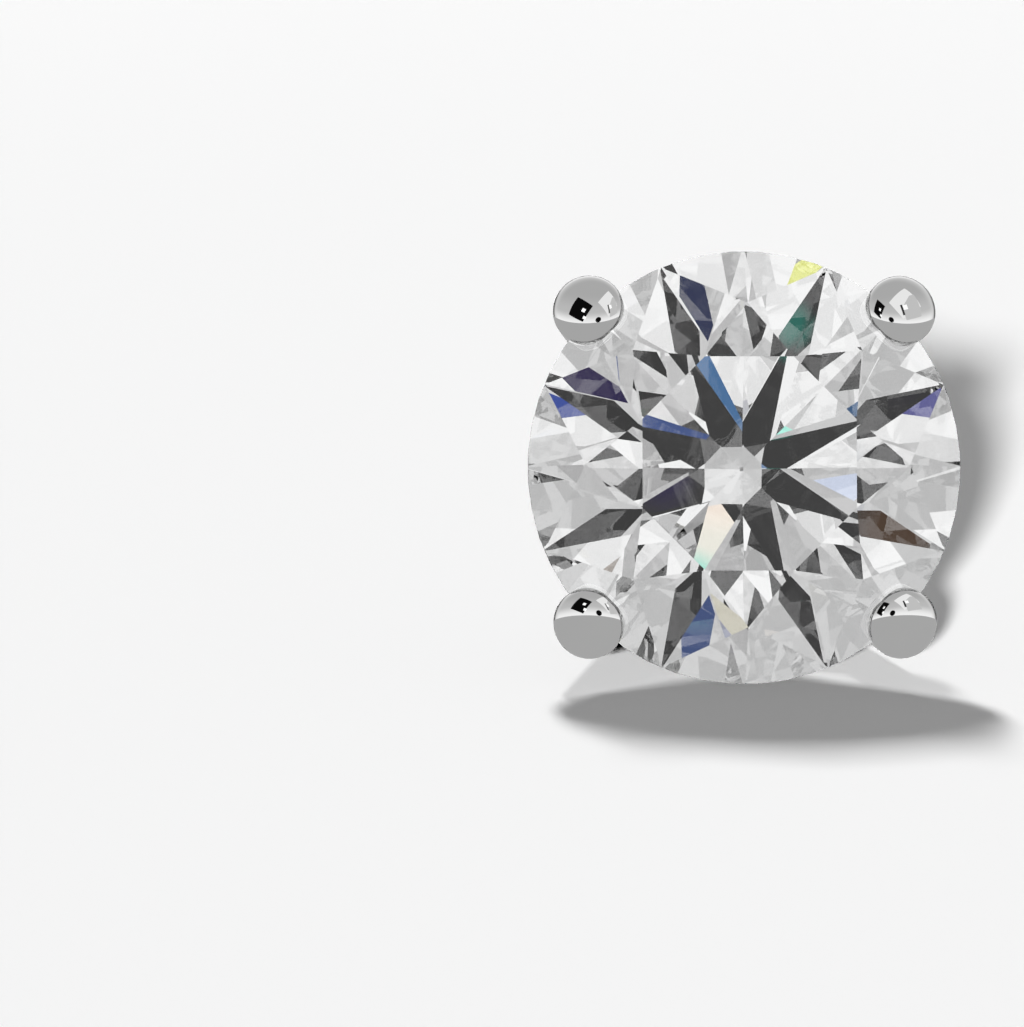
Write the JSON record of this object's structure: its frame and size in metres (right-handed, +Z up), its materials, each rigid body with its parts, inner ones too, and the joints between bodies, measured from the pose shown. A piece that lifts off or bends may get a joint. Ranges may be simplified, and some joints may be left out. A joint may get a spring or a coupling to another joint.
{
  "type": "stud earring",
  "caption": "Stud earring: a round brilliant-cut colourless stone held by four thick round prongs with low-domed tips in a white-metal wire basket, with a plain straight post for a pierced ear.",
  "frame": {"origin": "centre of the bottom of the whole stud's box, on the surface that it lies on", "axes": "+Z up from that surface, -Y the way the stone's face looks (tipped up by 11.9 degrees), +Y along the post to its tip, +X to the right of the face"},
  "size_m": [0.0066, 0.015, 0.0064],
  "materials": {
    "stone": "polished colourless brilliant-cut stone",
    "white_metal": "mirror-polished white gold"
  },
  "bodies": {
    "root": {"stone": "stone", "setting": "white_metal"}
  },
  "joints": []
}
